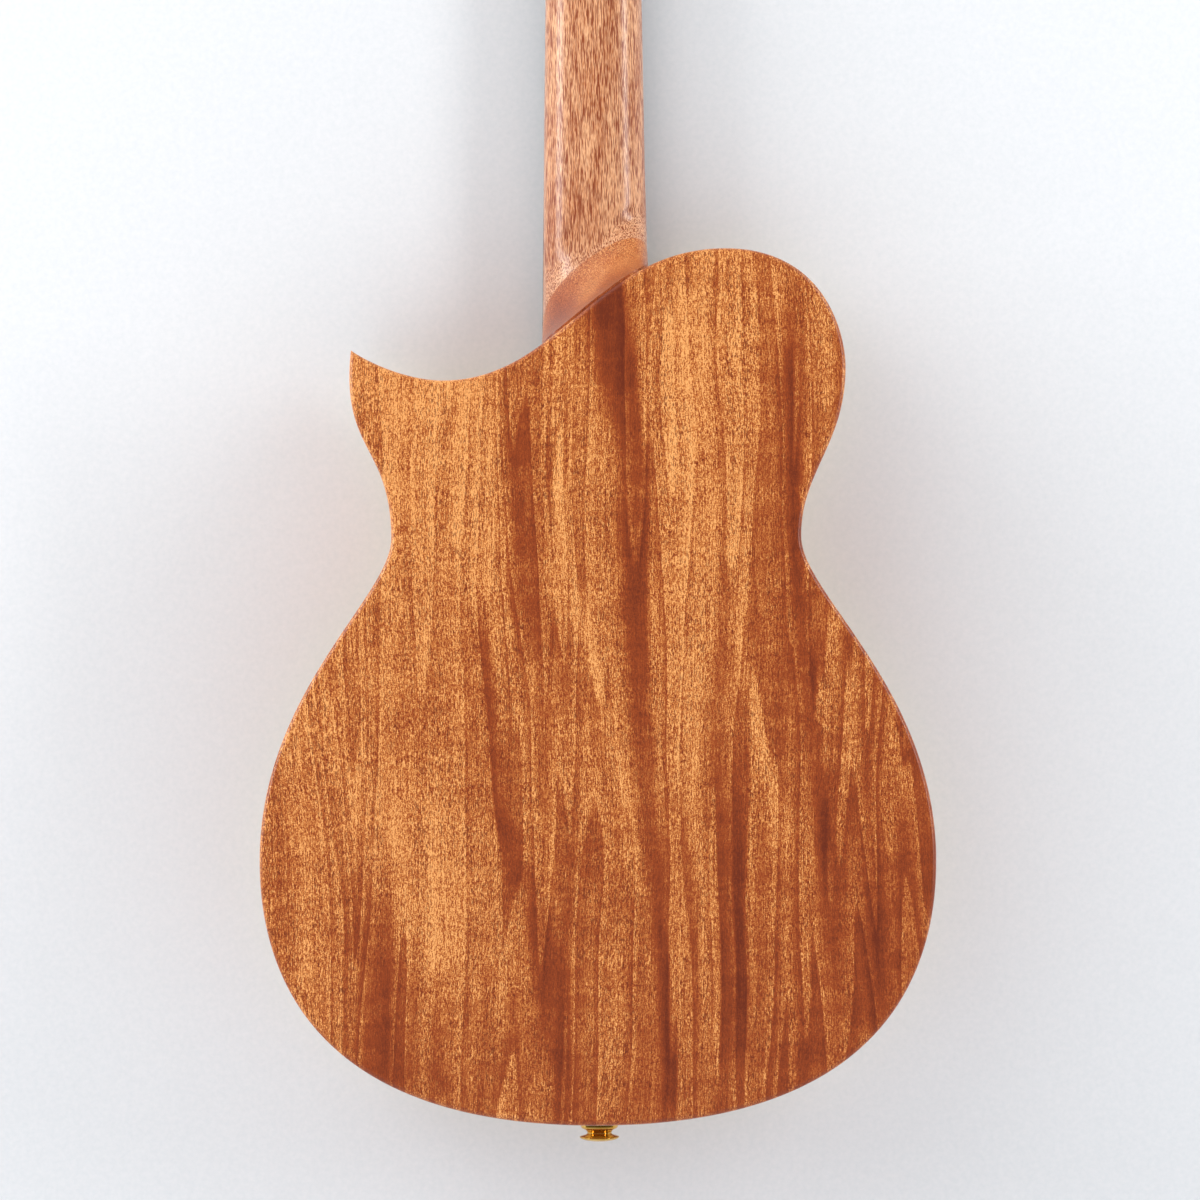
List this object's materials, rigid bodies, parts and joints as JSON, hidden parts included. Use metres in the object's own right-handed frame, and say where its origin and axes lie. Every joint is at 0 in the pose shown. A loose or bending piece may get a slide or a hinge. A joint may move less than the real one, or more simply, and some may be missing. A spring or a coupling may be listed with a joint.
{
  "type": "baritone ukulele",
  "caption": "Hollow wooden baritone ukulele with a pointed cutaway, strings from a tie bridge to worm-geared tuners on a tilted headstock, and a strap button on its tail.",
  "frame": {"origin": "on the centre line at the fretboard side of the nut, level with the soundboard's outer face", "axes": "+X to the treble side, where the cutaway is; -Y out of the soundboard and +Y out of the back; +Z along the neck to the headstock"},
  "size_m": [0.2754, 0.0964, 0.8051],
  "materials": {
    "body_mahogany": "ribbon-figured mahogany under gloss lacquer",
    "neck_mahogany": "open-grained mahogany, satin",
    "block_mahogany": "bare mahogany",
    "soundboard_spruce": "spruce under gloss lacquer",
    "bracing_spruce": "bare spruce",
    "rosewood": "oiled rosewood",
    "bone": "polished bone",
    "plain_string": "clear nylon",
    "wound_string": "silver-plated winding on nylon",
    "gold_hardware": "polished gold plate",
    "black_button": "polished black",
    "bolt_steel": "bright zinc"
  },
  "bodies": {
    "instrument": {"back_brace_1": "bracing_spruce", "back_brace_2": "bracing_spruce", "back_brace_3": "bracing_spruce", "back_plate": "body_mahogany", "bass_back_lining": "bracing_spruce", "bass_side": "body_mahogany", "bass_top_lining": "bracing_spruce", "bridge": "rosewood", "cutaway_back_lining": "bracing_spruce", "cutaway_side": "body_mahogany", "cutaway_top_lining": "bracing_spruce", "fan_brace_1": "bracing_spruce", "fan_brace_2": "bracing_spruce", "fan_brace_3": "bracing_spruce", "fretboard": "rosewood", "headstock_veneer": "rosewood", "heel": "neck_mahogany", "horn_block": "block_mahogany", "lower_top_brace": "bracing_spruce", "neck": "neck_mahogany", "neck_block": "block_mahogany", "neck_bolt_1": "bolt_steel", "neck_bolt_2": "bolt_steel", "nut": "bone", "rosette": "rosewood", "saddle": "bone", "soundboard": "soundboard_spruce", "strap_button": "gold_hardware", "strap_button_screw": "gold_hardware", "string_1": "plain_string", "string_2": "plain_string", "string_3": "wound_string", "string_4": "wound_string", "tail_block": "block_mahogany", "treble_back_lining": "bracing_spruce", "treble_side": "body_mahogany", "treble_top_lining": "bracing_spruce", "tuner_1_bushing": "gold_hardware", "tuner_1_plate": "gold_hardware", "tuner_2_bushing": "gold_hardware", "tuner_2_plate": "gold_hardware", "tuner_3_bushing": "gold_hardware", "tuner_3_plate": "gold_hardware", "tuner_4_bushing": "gold_hardware", "tuner_4_plate": "gold_hardware", "upper_top_brace": "bracing_spruce"},
    "tuner_1_knob": {"tuner_1_worm": "gold_hardware", "tuner_1_button": "black_button"},
    "tuner_1_spindle": {"tuner_1_post": "gold_hardware"},
    "tuner_2_knob": {"tuner_2_worm": "gold_hardware", "tuner_2_button": "black_button"},
    "tuner_2_spindle": {"tuner_2_post": "gold_hardware"},
    "tuner_3_knob": {"tuner_3_worm": "gold_hardware", "tuner_3_button": "black_button"},
    "tuner_3_spindle": {"tuner_3_post": "gold_hardware"},
    "tuner_4_knob": {"tuner_4_worm": "gold_hardware", "tuner_4_button": "black_button"},
    "tuner_4_spindle": {"tuner_4_post": "gold_hardware"}
  },
  "joints": [
    {"name": "tuner_1_knob_turn", "type": "hinge", "parent": "instrument", "child": "tuner_1_knob", "pos_m": [0.017, 0.02876, 0.0472], "axis": [1, 0, 0], "continuous": true},
    {"name": "tuner_1_post_turn", "type": "hinge", "parent": "instrument", "child": "tuner_1_spindle", "pos_m": [0.017, 0.01215, 0.05792], "axis": [0, 0.9744, -0.225], "continuous": true},
    {"name": "tuner_2_knob_turn", "type": "hinge", "parent": "instrument", "child": "tuner_2_knob", "pos_m": [0.017, 0.04136, 0.10177], "axis": [1, 0, 0], "continuous": true},
    {"name": "tuner_2_post_turn", "type": "hinge", "parent": "instrument", "child": "tuner_2_spindle", "pos_m": [0.017, 0.02474, 0.11248], "axis": [0, 0.9744, -0.225], "continuous": true},
    {"name": "tuner_3_knob_turn", "type": "hinge", "parent": "instrument", "child": "tuner_3_knob", "pos_m": [-0.017, 0.04136, 0.10177], "axis": [-1, 0, 0], "continuous": true},
    {"name": "tuner_3_post_turn", "type": "hinge", "parent": "instrument", "child": "tuner_3_spindle", "pos_m": [-0.017, 0.02474, 0.11248], "axis": [0, -0.9744, 0.225], "continuous": true},
    {"name": "tuner_4_knob_turn", "type": "hinge", "parent": "instrument", "child": "tuner_4_knob", "pos_m": [-0.017, 0.02876, 0.0472], "axis": [-1, 0, 0], "continuous": true},
    {"name": "tuner_4_post_turn", "type": "hinge", "parent": "instrument", "child": "tuner_4_spindle", "pos_m": [-0.017, 0.01215, 0.05792], "axis": [0, -0.9744, 0.225], "continuous": true}
  ],
  "couplings": [
    {"joint": "tuner_1_post_turn", "follows": "tuner_1_knob_turn", "ratio": 0.071429},
    {"joint": "tuner_2_post_turn", "follows": "tuner_2_knob_turn", "ratio": 0.071429},
    {"joint": "tuner_3_post_turn", "follows": "tuner_3_knob_turn", "ratio": 0.071429},
    {"joint": "tuner_4_post_turn", "follows": "tuner_4_knob_turn", "ratio": 0.071429}
  ]
}
